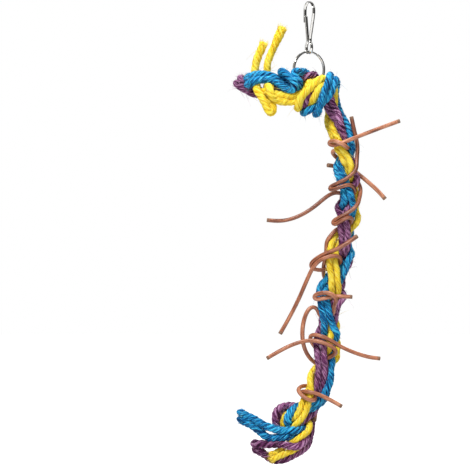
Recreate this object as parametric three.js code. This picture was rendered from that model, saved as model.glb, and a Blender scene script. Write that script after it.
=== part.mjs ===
// Hanging rope toy for a pet bird: six laid sisal strands, plaited in pairs of one colour and knotted to a
// split ring on a snap clip, with seven round leather laces hitched through the plait.
// Millimetres, +Z up, +X right and +Y away from the viewer.
// The origin is the point inside the clip's crown that rests on a cage bar.
import * as THREE from "three";

const GAP = 0.3;

const STRAND_DIAMETER = 4.3;
const STRAND_SIDES = 6;
const LACE_DIAMETER = 3.0;
const LACE_SIDES = 8;

const CLIP_STRIP_THICKNESS = 1.0;
const CLIP_STRIP_WIDTH = 2.6;
const CLIP_TURN = THREE.MathUtils.degToRad(-60);
const CLIP_LOOP_LEFT = -5.35;
const CLIP_LOOP_RIGHT = 7.0;
const CLIP_SHOULDER_DROP = 8.1;
const HOOK_TIP_DROP = 15.0;
const GATE_TIP_DROP = 10.1;
const NECK_DROP = 28.8;
const NECK_HALF_WIDTH = 1.7;
const NECK_CENTRE = 0.3;
const EYE_HALF_WIDTH = 3.7;
const EYE_MID_DROP = 34.2;
const EYE_CORNER_RISE = 1.3;

const RING_OUTER_DIAMETER = 28;
const RING_WIRE_RADIAL = 1.6;
const RING_WIRE_AXIAL = 0.9;
const RING_COIL_GAP = 0.2;
const RING_WIRE_CHAMFER = 0.28;
const RING_TOP_DROP = 36.2;
const RING_JOGGLE = THREE.MathUtils.degToRad(50);
const RING_END_CUT = THREE.MathUtils.degToRad(34);
const RING_STEPS = 72;
const EYE_RING_PLAY = 0.45;

const SETTLE_CLEARANCE = 0.5;
const SETTLE_PASSES = 320;
const SETTLE_FINISH = 240;
const SETTLE_RELIST = 6;
const SETTLE_SMOOTHING = 0.16;
const SETTLE_HOLD_START = 0.1;
const SETTLE_HOLD_END = 0.016;
const PLAIT_FIRMNESS = 5;
const SETTLE_REACH = 2.0;
const SETTLE_SKIP = 5;
const STRAND_SPACING = 2.2;
const LACE_SPACING = 1.8;
const RING_OBSTACLE_RADIUS = 1.25;
const CHORD_ERROR = 0.22;
const LONGEST_STEP = 12;

const YELLOW = { color: 0xf2c92a, roughness: 0.9, metalness: 0 };
const BLUE = { color: 0x1d86bf, roughness: 0.9, metalness: 0 };
const PURPLE = { color: 0x6d3566, roughness: 0.9, metalness: 0 };
const LEATHER = { color: 0xb06a46, roughness: 0.7, metalness: 0 };
const NICKEL = { color: 0xc9c9c6, roughness: 0.25, metalness: 1 };

const group = new THREE.Group();
group.name = "rope_bird_toy";

function addNode(name, geometry, look) {
  const mesh = new THREE.Mesh(geometry, new THREE.MeshStandardMaterial(look));
  mesh.name = name;
  group.add(mesh);
  return mesh;
}

// A flat strip bent along a profile, then stood in the clip's own plane.
function bentStrip(profile, samples) {
  const curve = new THREE.CatmullRomCurve3(profile.map(([u, z]) => new THREE.Vector3(u, z, 0)));
  const middle = curve.getSpacedPoints(samples);
  const half = CLIP_STRIP_THICKNESS / 2;
  const sideA = [];
  const sideB = [];
  middle.forEach((point, index) => {
    const before = middle[Math.max(index - 1, 0)];
    const after = middle[Math.min(index + 1, middle.length - 1)];
    const along = after.clone().sub(before).normalize();
    const across = new THREE.Vector2(-along.y, along.x).multiplyScalar(half);
    sideA.push(new THREE.Vector2(point.x + across.x, point.y + across.y));
    sideB.push(new THREE.Vector2(point.x - across.x, point.y - across.y));
  });
  const outline = new THREE.Shape([...sideA, ...sideB.reverse()]);
  const geometry = new THREE.ExtrudeGeometry(outline, {
    depth: CLIP_STRIP_WIDTH,
    bevelEnabled: false,
  });
  geometry.translate(0, 0, -CLIP_STRIP_WIDTH / 2);
  geometry.rotateX(Math.PI / 2);
  geometry.rotateZ(CLIP_TURN);
  return geometry;
}

// Clip body: hook tip, crown, right leg, neck, eye and the root of the sprung leg.
const crownTop = CLIP_STRIP_THICKNESS / 2;
const ringTopMiddle = -RING_TOP_DROP - RING_WIRE_RADIAL / 2;
const eyeBottom = ringTopMiddle - RING_WIRE_RADIAL / 2 - EYE_RING_PLAY - CLIP_STRIP_THICKNESS / 2;
const neckLeft = NECK_CENTRE - NECK_HALF_WIDTH;
const neckRight = NECK_CENTRE + NECK_HALF_WIDTH;
const bodyProfile = [
  [CLIP_LOOP_LEFT + 0.05, -HOOK_TIP_DROP],
  [CLIP_LOOP_LEFT, -CLIP_SHOULDER_DROP],
  [CLIP_LOOP_LEFT * 0.93, -CLIP_SHOULDER_DROP * 0.45],
  [CLIP_LOOP_LEFT * 0.55, -CLIP_SHOULDER_DROP * 0.09],
  [0, crownTop],
  [CLIP_LOOP_RIGHT * 0.58, -CLIP_SHOULDER_DROP * 0.12],
  [CLIP_LOOP_RIGHT * 0.94, -CLIP_SHOULDER_DROP * 0.5],
  [CLIP_LOOP_RIGHT, -CLIP_SHOULDER_DROP],
  [neckRight + (CLIP_LOOP_RIGHT - neckRight) * 0.5, -(CLIP_SHOULDER_DROP + NECK_DROP) * 0.5],
  [neckRight, -NECK_DROP],
  [NECK_CENTRE + EYE_HALF_WIDTH * 0.86, -(NECK_DROP + EYE_MID_DROP) * 0.5],
  [NECK_CENTRE + EYE_HALF_WIDTH, -EYE_MID_DROP],
  [NECK_CENTRE + EYE_HALF_WIDTH * 0.72, eyeBottom + EYE_CORNER_RISE],
  [NECK_CENTRE, eyeBottom],
  [NECK_CENTRE - EYE_HALF_WIDTH * 0.72, eyeBottom + EYE_CORNER_RISE],
  [NECK_CENTRE - EYE_HALF_WIDTH, -EYE_MID_DROP],
  [NECK_CENTRE - EYE_HALF_WIDTH * 0.86, -(NECK_DROP + EYE_MID_DROP) * 0.5],
  [neckLeft, -NECK_DROP],
];
const gateTip = [CLIP_LOOP_LEFT + CLIP_STRIP_THICKNESS + GAP + 0.05, -GATE_TIP_DROP];
const gateProfile = [
  [neckLeft - 0.02, -NECK_DROP + GAP],
  [neckLeft + (gateTip[0] - neckLeft) * 0.5, -(NECK_DROP + GATE_TIP_DROP) * 0.5],
  gateTip,
];
addNode("clip_body", bentStrip(bodyProfile, 76), NICKEL);
addNode("clip_gate", bentStrip(gateProfile, 6), NICKEL);

// Split ring: two flat coils side by side with a joggle from one to the other under the clip's eye.
const ringRadius = (RING_OUTER_DIAMETER - RING_WIRE_RADIAL) / 2;
const ringCentre = new THREE.Vector3(0, 0, ringTopMiddle - ringRadius);
const ringAcross = new THREE.Vector3(Math.sin(CLIP_TURN), -Math.cos(CLIP_TURN), 0);
const ringAxis = new THREE.Vector3(Math.cos(CLIP_TURN), Math.sin(CLIP_TURN), 0);
ringCentre.addScaledVector(ringAxis, NECK_CENTRE);

class SplitRingWire extends THREE.Curve {
  getPoint(t, target = new THREE.Vector3()) {
    const sweep = 4 * Math.PI - 2 * RING_END_CUT;
    const angle = RING_END_CUT + sweep * t;
    const step = THREE.MathUtils.smoothstep(
      angle,
      2 * Math.PI - RING_JOGGLE / 2,
      2 * Math.PI + RING_JOGGLE / 2,
    );
    const axial = (step - 0.5) * (RING_WIRE_AXIAL + RING_COIL_GAP);
    return target
      .copy(ringCentre)
      .addScaledVector(ringAcross, ringRadius * Math.sin(angle))
      .addScaledVector(new THREE.Vector3(0, 0, 1), ringRadius * Math.cos(angle))
      .addScaledVector(ringAxis, axial);
  }

  // The frames stay square to the ring's own plane, so the flat coils never twist.
  computeFrenetFrames(segments) {
    const tangents = [];
    const normals = [];
    const binormals = [];
    for (let index = 0; index <= segments; index++) {
      const tangent = this.getTangentAt(index / segments);
      const outward = this.getPointAt(index / segments).sub(ringCentre);
      outward.addScaledVector(ringAxis, -outward.dot(ringAxis));
      outward.addScaledVector(tangent, -outward.dot(tangent)).normalize();
      tangents.push(tangent);
      normals.push(outward);
      binormals.push(new THREE.Vector3().crossVectors(tangent, outward));
    }
    return { tangents, normals, binormals };
  }
}

function chamferedSection(width, height, chamfer) {
  const x = width / 2;
  const y = height / 2;
  return new THREE.Shape([
    new THREE.Vector2(x, -y + chamfer),
    new THREE.Vector2(x, y - chamfer),
    new THREE.Vector2(x - chamfer, y),
    new THREE.Vector2(-x + chamfer, y),
    new THREE.Vector2(-x, y - chamfer),
    new THREE.Vector2(-x, -y + chamfer),
    new THREE.Vector2(-x + chamfer, -y),
    new THREE.Vector2(x - chamfer, -y),
  ]);
}

addNode(
  "split_ring",
  new THREE.ExtrudeGeometry(chamferedSection(RING_WIRE_RADIAL, RING_WIRE_AXIAL, RING_WIRE_CHAMFER), {
    steps: RING_STEPS,
    extrudePath: new SplitRingWire(),
    bevelEnabled: false,
  }),
  NICKEL,
);

// The plait, top to bottom: the middle line of each colour's pair of strands as x, y, z, then the pair's roll
// in degrees. At a roll of 0 its two strands lie side by side across the front, at 90 one behind the other.
const PLAIT = {
  purple: [
    [16, -3, -79, -22], [19.4, -4, -84.5, -45], [22.8, -4, -94, -60], [25, -1, -102.5, -45],
    [27.3, 4.5, -110.5, -20], [30, 4.5, -119, -40], [31.6, 1.5, -128.5, -65], [30.8, 0.5, -138, -55],
    [28.6, 3.5, -146, -40], [27, 1, -153.5, -45], [26.2, -3, -164, -30], [26.8, -3.5, -173, -25],
    [26.8, -3, -180, -25], [26.2, 0.5, -188, -20], [24.6, 4, -198, 0], [21.6, 3, -210, 25],
    [19.8, 1.2, -222, 40], [17.8, 1, -232, 30], [15, 3, -239.5, 10], [11, 2.5, -246, 0],
    [8.9, -1.5, -254, 0], [9.2, -3, -263, 5], [9.6, -3, -272, 5], [9.8, -2, -280, 5], [8.6, 0, -286.5, 10],
  ],
  yellow: [
    [18, 4, -79, -29], [17, 3.8, -84, -40], [16.2, 1.5, -89.5, -60], [17.6, -1, -95.5, -65],
    [19.8, -3.5, -102, -60], [23, -4.5, -108.5, -55], [26.4, -4.5, -115, -50], [28.9, -4, -121.5, -50],
    [30.2, -2, -129, -50], [31, 3, -139, -45], [31.8, 2, -150, -50], [31.6, 0.5, -158.5, -45],
    [30.4, 1.5, -166.5, -25], [27, 3, -172.5, 0], [22.6, 3, -176.5, 0], [19.6, 0.5, -181, 20],
    [18.4, -2.5, -188, 30], [18.3, -3.2, -196, 35], [19, -3.2, -204, 30], [19, -2.5, -213, 30],
    [17.6, 1, -222, 30], [16.8, 4.2, -232, 20], [17, 2.5, -242, 35], [17.6, 1, -249, 45],
    [17.7, 0.5, -255, 45], [16.8, 1, -261.5, 35], [14.6, 2.5, -268, 20], [10, 3.5, -273.5, 10],
    [5, 2.5, -277.5, 20], [2.4, -1, -282.5, 40], [1.6, -2.8, -288, 80],
  ],
  blue: [
    [21.5, 6.5, -82, 106], [25.5, 3, -88, 110], [28.4, 1, -95, 115], [29.6, 0, -102.5, 120],
    [29.8, -0.5, -109.5, 130], [28, 1, -115, 140], [25.5, 2.5, -119.5, 145], [23.4, 0.5, -124.5, 135],
    [24.8, -2.5, -131.5, 140], [27.8, -4, -139.5, 145], [30, -4, -147, 145], [30.6, -1, -154, 140],
    [30, 4, -164, 130], [29, 5, -174, 120], [28.4, 2.5, -183, 110], [28.4, 0, -191, 110],
    [26.2, -0.5, -198.5, 130], [22.4, 1.5, -204.5, 160], [17.5, 3.2, -208.5, 180], [13, 1.5, -212, 180],
    [11.4, -1.5, -217.5, 180], [11.5, -3.2, -225, 180], [13.2, -3.2, -234.5, 180], [14.8, -3, -243, 180],
    [15.6, -0.5, -250, 165], [15.6, 4.2, -260, 150], [15.4, 3.2, -269, 130], [15, 1, -278, 115],
    [14, 0.5, -285.5, 107],
  ],
};
const PLAIT_TOP = PLAIT.purple[0][2];
const PLAIT_FOOT = PLAIT.purple.at(-1)[2];
const PAIR_HALF_SPACING = (STRAND_DIAMETER + SETTLE_CLEARANCE) / 2;

// Each strand: its look, its side of the pair, and its hand-laid ends above and below the plait.
const STRANDS = {
  yellow_strand_a: {
    look: YELLOW,
    pair: PLAIT.yellow,
    side: -1,
    top: [
      [-20, 0, -20], [-22.5, 0.5, -25.5], [-26, 1, -33], [-29.5, 1.5, -40.5], [-32.3, 2, -48],
      [-31.5, 2, -54], [-28.5, 1.5, -59], [-26.5, 1, -64], [-29.5, 2.5, -67.5], [-33, 0.5, -64.5],
      [-32.5, -4.5, -61.5], [-30, -9.5, -62.5], [-29.5, -12.5, -67.5], [-28.3, -12, -73],
      [-25, -9.5, -75.8], [-21.5, -8, -74.8], [-15, -8, -74.8], [-8.5, -9.5, -75.5], [-3, -9, -72],
      [2, -7, -67.5], [5, -3, -61.5], [4, 5, -60], [3, 10, -64], [2.5, 10.5, -70],
      [2, 7, -76], [1, 1, -79.5], [1, -6, -80], [1.5, -11.5, -77], [3, -13.5, -72],
      [5, -14, -67], [7.5, -13.5, -62.5], [11.5, -12, -60], [16, -9.5, -61.5], [17, -4, -62.5],
      [16, 1.5, -66.5], [15.5, 4.5, -72],
    ],
    bottom: [
      [1.5, -5, -292], [-0.5, -7, -298], [-1.5, -8, -304], [-5, -8, -310], [-8.5, -6.5, -316],
      [-11.5, -4, -321], [-15.5, -1, -324], [-18, -0.5, -319], [-17.5, -3, -313], [-14, 2, -307],
      [-9, 6, -308], [-3, 7, -312], [-1, 3, -315], [-1.5, -4.5, -317.5], [-4.5, -9.5, -322],
      [-8, -12, -325.5], [-13.5, -11.5, -327.3], [-16.5, -9, -329.8], [-19.5, -7.5, -334],
      [-24, -7, -337], [-28.5, -7, -340],
    ],
  },
  yellow_strand_b: {
    look: YELLOW,
    pair: PLAIT.yellow,
    side: 1,
    top: [
      [-34, 0.5, -31.5], [-36, 1, -36], [-39, 1.5, -42], [-41, 2, -49], [-40.5, 1.5, -55],
      [-40, -1.5, -60], [-40, -6.5, -65], [-36.8, -9.5, -70], [-32.6, -10.5, -75.5],
      [-31.3, -10.5, -80.5], [-28.8, -9.8, -84.3], [-26.4, -9, -80], [-26.8, -7, -75.5],
      [-29.5, -1.5, -73.5], [-33.5, 1, -71], [-36.5, -2.5, -67], [-34.5, -8, -64.5],
      [-31, -8.5, -66.5], [-25.5, -8.5, -69.5], [-21, -7.5, -70.5], [-15, -8.5, -71.5], [-9, -9.5, -72],
      [-3.5, -8.5, -69], [0, -5, -63.5], [1, 0.5, -59.8], [-1.5, 5.5, -61], [-4, 6, -66],
      [-5, 5.5, -71], [-6, 2.5, -76], [-7.5, -2.5, -79.5], [-8.5, -8.5, -78.5], [-7.3, -12.5, -74],
      [-3.5, -13.8, -69], [1.5, -14, -64], [6.5, -14, -59.8], [10.5, -13, -56.5],
      [13.4, -7.8, -58.5], [16, -2, -62], [17.5, 0, -67.5], [18.7, 1, -73],
    ],
    bottom: [
      [0.5, -1, -291], [-2.5, -3.5, -297], [-5.5, -5, -303], [-9, -6, -309], [-13, -3, -315],
      [-14, 1, -321], [-14, 5, -327], [-9, 7, -330], [-4, 6, -328], [-2, 0, -326.5],
      [-3.5, -7, -329.3], [-7, -10, -332.5], [-11, -11.5, -334.8], [-16, -11.8, -336.3],
      [-22, -11.3, -338.8], [-27.5, -11.3, -341.5],
    ],
  },
  blue_strand_a: {
    look: BLUE,
    pair: PLAIT.blue,
    side: 1,
    top: [
      [-44.8, -4, -57], [-41, -4, -54.3], [-36, -3.7, -53.5], [-30, -3.2, -54.7], [-24.5, -3, -55],
      [-21.5, -4, -57.5], [-20, -5, -62.5], [-15.5, -5.5, -66.5], [-10, -7, -67.5], [-5.5, -10, -65.5],
      [-5.5, -12, -61], [-9, -13, -58], [-13.5, -12.5, -55.5], [-14.5, -11, -51.8], [-10, -10.5, -51.5],
      [-6, -6.5, -54.5], [-3, 1, -56.8], [1.5, 8, -58.5], [6.5, 10, -63.5], [7, 10.5, -70],
      [6, 7, -77], [5.5, 1, -82], [5, -5.5, -84], [5.8, -10.5, -81.5], [8.3, -13.5, -75.5],
      [10.6, -15, -70], [12.6, -16, -64.5], [14, -15.5, -59.5], [14.8, -13, -56],
      [14.6, -8.3, -54.3], [16.3, -3, -54.8], [17.2, 2.5, -58], [16.8, 7.5, -64], [17, 10, -70.5],
      [19, 9.5, -77],
    ],
    bottom: [
      [11.5, 3, -292], [8.5, 1, -298], [3.5, 0.5, -303.5], [-2.5, 2, -306.5], [-7.5, -0.5, -307],
      [-11, -3, -312], [-11.5, -2, -317.5], [-12.5, 2, -322], [-8.5, 5.5, -322], [-3.5, 6, -320],
      [-1.5, 1, -320], [-2.5, -6, -320], [-7.5, -11, -320.5], [-16, -12.5, -321], [-23.3, -11.5, -320.3],
      [-30.6, -9, -318.2], [-37, -7.5, -314.8], [-43.4, -6, -311.3], [-50.3, -5, -308],
    ],
  },
  blue_strand_b: {
    look: BLUE,
    pair: PLAIT.blue,
    side: -1,
    top: [
      [-45, -5, -61], [-40.5, -5.5, -59.5], [-35, -6, -59], [-29, -6, -59.3], [-24, -7, -59.5],
      [-21, -9.5, -63], [-16.5, -10.5, -67], [-11.5, -11.5, -68.5], [-8.5, -14, -65.5],
      [-10, -15.5, -61], [-14.5, -15, -56.5], [-18.5, -12.5, -52.5], [-22, -8.5, -50.3], [-22.5, -3.5, -54],
      [-17, -1, -59.5], [-12, -1.5, -63], [-7, -3, -62.5], [-4, 1, -61], [-2, 7, -62.5], [-3, 10, -67],
      [-3, 10.5, -73], [-3.5, 7, -79], [-4, 0, -83], [-2, -6, -81.5], [2.5, -8, -79.5], [7.5, -9, -77.5],
      [12, -11.5, -74], [15.5, -13.5, -69.5], [17.8, -14, -64.5], [19, -13, -60],
      [18.8, -10.4, -57], [19.6, -6.5, -57], [20.2, -1, -60], [19.4, 4, -65], [19.4, 6, -71],
      [21, 5, -77],
    ],
    bottom: [
      [13, -2, -291], [10.5, -4, -296], [6.5, -4.5, -300], [2, -2.5, -302.5], [-2.5, -0.5, -302],
      [-7, -3, -302.5], [-12, -5.5, -307], [-14.5, -6.5, -312], [-14.5, -4, -317], [-15.5, 1, -321],
      [-12.5, 6, -325], [-5.5, 8, -325.5], [-1.5, 4, -324.5], [-1.5, -3, -324],
      [-4.5, -9, -324.3], [-9.5, -12, -325], [-16, -12.5, -325.6], [-21, -11.5, -325.8],
      [-26.5, -9.5, -327], [-30.3, -7, -328.7], [-33, -5.5, -325.5], [-35.8, -6, -321.7],
      [-39.5, -6.5, -318.5], [-44, -6, -315.5], [-50, -5, -312.3],
    ],
  },
  purple_strand_a: {
    look: PURPLE,
    pair: PLAIT.purple,
    side: 1,
    top: [
      [-50.5, -1, -57.5], [-47, -1, -60], [-43, 0, -62.8], [-38.5, 2, -65], [-33.5, 3.5, -66.5],
      [-28, 3, -66], [-22, 2, -64], [-16, 1.5, -62], [-10, -0.5, -60], [-5, -3.5, -57.5],
      [-1, -3, -55.5], [2.5, 1, -55.5], [4.5, 6, -59], [6, 6.5, -65], [6, 6, -71], [5, 3, -77],
      [3.8, -2, -80], [4, -7.5, -78.5], [5.3, -10.5, -74], [7.8, -11.5, -69.5], [11, -11.5, -66],
      [14.7, -8.5, -66.7], [16.5, -5, -72.5],
    ],
    bottom: [
      [9.5, -1, -291.5], [8, 2, -297], [6.5, 3, -302], [2, 0.5, -307.5], [-2.5, -3, -312.5],
      [-7, -3.5, -317], [-12.5, -3, -323], [-16, -2, -328], [-20, 0, -325], [-24, -2, -318],
      [-26.3, -4, -311.5], [-26, -4, -306], [-21.5, -2, -302.3], [-16, 0, -301.8], [-11, 3, -302.5],
      [-5, 8, -304.5], [-1, 9, -309.5], [0, 6, -315.5], [0, -2, -322], [-2, -8.5, -327],
      [-7, -12.5, -330], [-14, -14.5, -330.8], [-19.5, -13, -329.8], [-25.5, -9.5, -329.8],
      [-31, -7.5, -330.5], [-35.5, -7, -331], [-40.3, -6.5, -330.5],
    ],
  },
  purple_strand_b: {
    look: PURPLE,
    pair: PLAIT.purple,
    side: -1,
    top: [
      [-53.5, -0.5, -61.3], [-50, -0.5, -63.5], [-46, 0.5, -66.2], [-41.5, 2.5, -68.8], [-36, 5, -70],
      [-30, 5.5, -66.5], [-24, 4.5, -61.5], [-17, 3, -58.5], [-11.5, 0.5, -57.5], [-7, -1, -56],
      [-3, -1.5, -54], [0, 2, -54.5], [0.5, 6, -59.5], [0.5, 6.5, -65], [0, 6, -71], [-1.5, 2, -77],
      [-3.5, -4.5, -79.5], [-3, -9.5, -76.5], [0, -10.7, -71.5], [4, -10.5, -66.5], [8, -9.5, -63.5],
      [11.2, -6.5, -63.5], [12.5, -4, -66.5], [12.5, -2, -72],
    ],
    bottom: [
      [5, -1.5, -291], [3.5, 1.5, -296], [2, 4, -301], [-1.5, 3.5, -307], [-5.5, 1.5, -312.5],
      [-9.5, 1, -318], [-13.5, 3, -325], [-16, 4, -329], [-19.5, 3, -324], [-21.5, 0, -317],
      [-21.7, -1, -310.5], [-19.5, 0.5, -306], [-13.5, 4, -305], [-9, 9, -308.5], [-3.5, 10, -314],
      [-0.5, 8, -320.5], [-1, 1, -328], [-3, -5, -333], [-6.5, -7.5, -336.5], [-13, -8, -340],
      [-19.5, -7.5, -343.3], [-25.5, -6.5, -344.5], [-31, -4.5, -340.5], [-34.5, -4.5, -336.3],
      [-39.3, -5, -335.3],
    ],
  },
};

// Each lace, end to end: a hitch of one and a half turns through the plait between two free tails.
const LACES = {
  leather_lace_1: [
    [68, -2, -89], [58, -3, -92.7], [49.7, -5, -95.8], [41, -7.5, -99.3], [32.4, -9.5, -102.5],
    [24.2, -10.5, -106.3], [18.9, -9, -107.8], [14.6, -5.5, -108.4], [12.4, -4.5, -106.3],
    [14.4, -7.5, -104.2], [19, -12, -103.8], [24.2, -13.8, -106.3], [28.2, -11.5, -109.3],
    [29.6, -6.5, -111.2], [27, -1, -112], [22, 1, -111.5], [17.5, 1.5, -110.5], [15.6, 4, -111],
    [18.5, 7.5, -114], [24, 9.5, -118.5], [30, 9, -123], [36, 5, -127.5], [43, 1, -133.5],
    [51, -1, -140.5], [57.2, -1, -147.5],
  ],
  leather_lace_2: [
    [31.7, -4, -86], [33.2, -4, -92.8], [35, -3.5, -103.3], [36.2, -3.5, -112.3], [35.4, -5, -119.8],
    [33.2, -7.5, -126.5], [29.4, -9.5, -131.8], [23.4, -9, -135.2], [17.4, -6.5, -137.8],
    [13, -4.5, -139], [13.4, -5.5, -141.6], [18.5, -9.5, -140.6], [24.2, -11.5, -138.2],
    [29, -11, -135.9], [32.5, -8, -136], [32, -3.5, -138], [27.5, 0.5, -140], [22, 2, -141.5],
    [17.5, 0.5, -142.8], [14, -1.5, -144.8], [9.9, -2.5, -148.5], [0.9, -3, -155.8],
    [-10.4, -3, -161.8], [-21.6, -3, -164.3], [-31.4, -3, -163.3],
  ],
  leather_lace_3: [
    [14.4, 4, -122], [20.4, 6.5, -122.4], [27.2, 10, -124.3], [33.5, 9, -128.3], [37, 5, -134.8],
    [38.3, 0.5, -142.3], [37.6, -4.5, -148.3], [34.7, -8, -153.9], [29.4, -9.5, -158],
    [23.4, -9, -161], [18.2, -6.5, -164], [15.2, -4.5, -166], [16.2, -5.5, -168], [21.2, -9.5, -165.5],
    [25.7, -12, -162.3], [30.2, -11.5, -160], [33, -8, -161], [32, -3.5, -164], [27.5, 0.5, -166.5],
    [22.5, 1, -168], [19.5, 0, -169.5], [18, -1.5, -174], [16, -1, -180.5], [13, 0, -189.5],
    [11, 1, -198.5], [12.2, 3.5, -205.3], [15.2, 7, -210.5],
  ],
  leather_lace_4: [
    [35.8, -9, -175.3], [30.9, -10.5, -178.7], [25.7, -10.5, -182.4], [19.7, -9.5, -185.8],
    [13.7, -8, -187.9], [7.7, -5.5, -190.5], [2.4, -3, -194], [-1, -1.5, -197.6], [1.5, -0.5, -200.6],
    [6.9, 0.5, -201], [13.7, 1.5, -200.4], [19.7, 1.8, -198.3], [24.3, -0.5, -195.5],
    [25.3, -5, -192.3], [22, -8.5, -189.3], [16.7, -9.8, -189.2], [10.7, -9, -191.2], [5.2, -7, -195],
    [1.6, -5, -200.8], [-2.5, -4, -210.5], [-8, -3, -223.3], [-14.9, -3, -236.8], [-21.6, -3, -248.5],
  ],
  leather_lace_5: [
    [32, -9, -220.7], [25.7, -10, -220.5], [20.4, -10, -220.4], [14.4, -9.5, -221], [8.4, -8.5, -222.2],
    [3.7, -6, -223.6], [1, -4.5, -222], [3.2, -7, -219.3], [8.4, -11, -217.5], [14.4, -13, -216.8],
    [19.2, -13, -218.5], [21.6, -11, -222], [20, -8, -225], [16.8, -4, -226], [13, 0.5, -226],
    [8.5, 1.5, -226], [4, 0, -226], [1, -1.5, -227.5], [-2.1, -2.5, -232.3], [-4.7, -3, -242],
    [-5.1, -3, -251.8], [-3.2, -2, -260.8], [0.9, 1.5, -267.5], [5.5, 6, -271.5], [9.5, 8.5, -273.5],
  ],
  leather_lace_6: [
    [53, -7, -266.8], [45, -7.5, -266], [37, -8, -263.5], [30, -8.5, -261], [24.5, -8.5, -258.5],
    [19.7, -9, -255.5], [14.4, -9, -252], [8.4, -8, -249.5], [2.5, -5.5, -248], [-0.8, -2.5, -249.8],
    [0.5, 0, -253.5], [4.2, 1.8, -258.5], [9.5, 2, -262.5], [14.5, -2, -264.8], [19.2, -7, -264.3],
    [22, -11, -261], [19.5, -12.5, -258.3], [14.4, -12, -256.2], [8.4, -10.5, -253.8],
    [2.4, -8, -252.8], [-6.6, -6, -254.3], [-15.6, -5, -257.8], [-23.9, -4.5, -262.3], [-31.4, -4, -266.8],
  ],
  leather_lace_7: [
    [24.2, -9, -302.4], [18.2, -10, -299], [12.2, -10.5, -295.5], [5.5, -11, -292.5], [-0.5, -10, -291.2],
    [-3.8, -6, -291.8], [-3.5, -0.5, -293.5], [0.5, 3, -295.5], [5, 0.5, -297.5], [6.5, -5, -298.5],
    [4, -10.5, -299], [-1, -12, -298], [-5, -9.5, -295], [-8, -5.5, -291.5], [-7.8, -2, -288.3],
    [-4, 1.5, -287], [0, 5, -287.5], [4, 8.5, -291], [6, 9.5, -297], [6, 8, -303], [5, 5.5, -309],
    [4, 4, -314.5],
  ],
};

const toPoint = ([x, y, z]) => new THREE.Vector3(x, y, z);

// Points of one strand along the plait, beside its pair's middle line.
function plaitPoints(pair, side) {
  const middle = new THREE.CatmullRomCurve3(pair.map(toPoint), false, "centripetal");
  const back = new THREE.Vector3(0, 1, 0);
  return pair.map((row, index) => {
    const roll = THREE.MathUtils.degToRad(row[3]);
    const along = middle.getTangent(index / (pair.length - 1));
    const right = new THREE.Vector3(-along.z, 0, along.x).normalize();
    return toPoint(row)
      .addScaledVector(right, side * PAIR_HALF_SPACING * Math.cos(roll))
      .addScaledVector(back, side * PAIR_HALF_SPACING * Math.sin(roll));
  });
}

function makeCord(name, look, diameter, sides, spacing, points) {
  const curve = new THREE.CatmullRomCurve3(points, false, "centripetal");
  curve.arcLengthDivisions = points.length * 12;
  const count = Math.max(8, Math.round(curve.getLength() / spacing));
  const laid = curve.getSpacedPoints(count);
  return { name, look, sides, radius: diameter / 2, laid, now: laid.map((point) => point.clone()) };
}

const cords = [];
for (const [name, strand] of Object.entries(STRANDS)) {
  const points = [
    ...strand.top.map(toPoint),
    ...plaitPoints(strand.pair, strand.side),
    ...strand.bottom.map(toPoint),
  ];
  cords.push(makeCord(name, strand.look, STRAND_DIAMETER, STRAND_SIDES, STRAND_SPACING, points));
}
for (const [name, lace] of Object.entries(LACES)) {
  cords.push(makeCord(name, LEATHER, LACE_DIAMETER, LACE_SIDES, LACE_SPACING, lace.map(toPoint)));
}
const ringPath = [];
for (let index = 0; index <= RING_STEPS; index++) {
  const angle = (2 * Math.PI * index) / RING_STEPS;
  ringPath.push(
    ringCentre
      .clone()
      .addScaledVector(ringAcross, ringRadius * Math.sin(angle))
      .addScaledVector(new THREE.Vector3(0, 0, 1), ringRadius * Math.cos(angle)),
  );
}
const ringObstacle = { name: "ring", radius: RING_OBSTACLE_RADIUS, now: ringPath, fixed: true };

// Closest points of two straight pieces, as shares along each.
function closestShares(a0, a1, b0, b1, out) {
  const ux = a1.x - a0.x;
  const uy = a1.y - a0.y;
  const uz = a1.z - a0.z;
  const vx = b1.x - b0.x;
  const vy = b1.y - b0.y;
  const vz = b1.z - b0.z;
  const wx = a0.x - b0.x;
  const wy = a0.y - b0.y;
  const wz = a0.z - b0.z;
  const uu = ux * ux + uy * uy + uz * uz;
  const uv = ux * vx + uy * vy + uz * vz;
  const vv = vx * vx + vy * vy + vz * vz;
  const uw = ux * wx + uy * wy + uz * wz;
  const vw = vx * wx + vy * wy + vz * wz;
  const det = uu * vv - uv * uv;
  let s = det > 1e-9 ? THREE.MathUtils.clamp((uv * vw - vv * uw) / det, 0, 1) : 0.5;
  const t = THREE.MathUtils.clamp((uv * s + vw) / vv, 0, 1);
  s = THREE.MathUtils.clamp((uv * t - uw) / uu, 0, 1);
  out.s = s;
  out.t = t;
  out.x = wx + ux * s - vx * t;
  out.y = wy + uy * s - vy * t;
  out.z = wz + uz * s - vz * t;
  return Math.sqrt(out.x * out.x + out.y * out.y + out.z * out.z);
}

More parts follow.
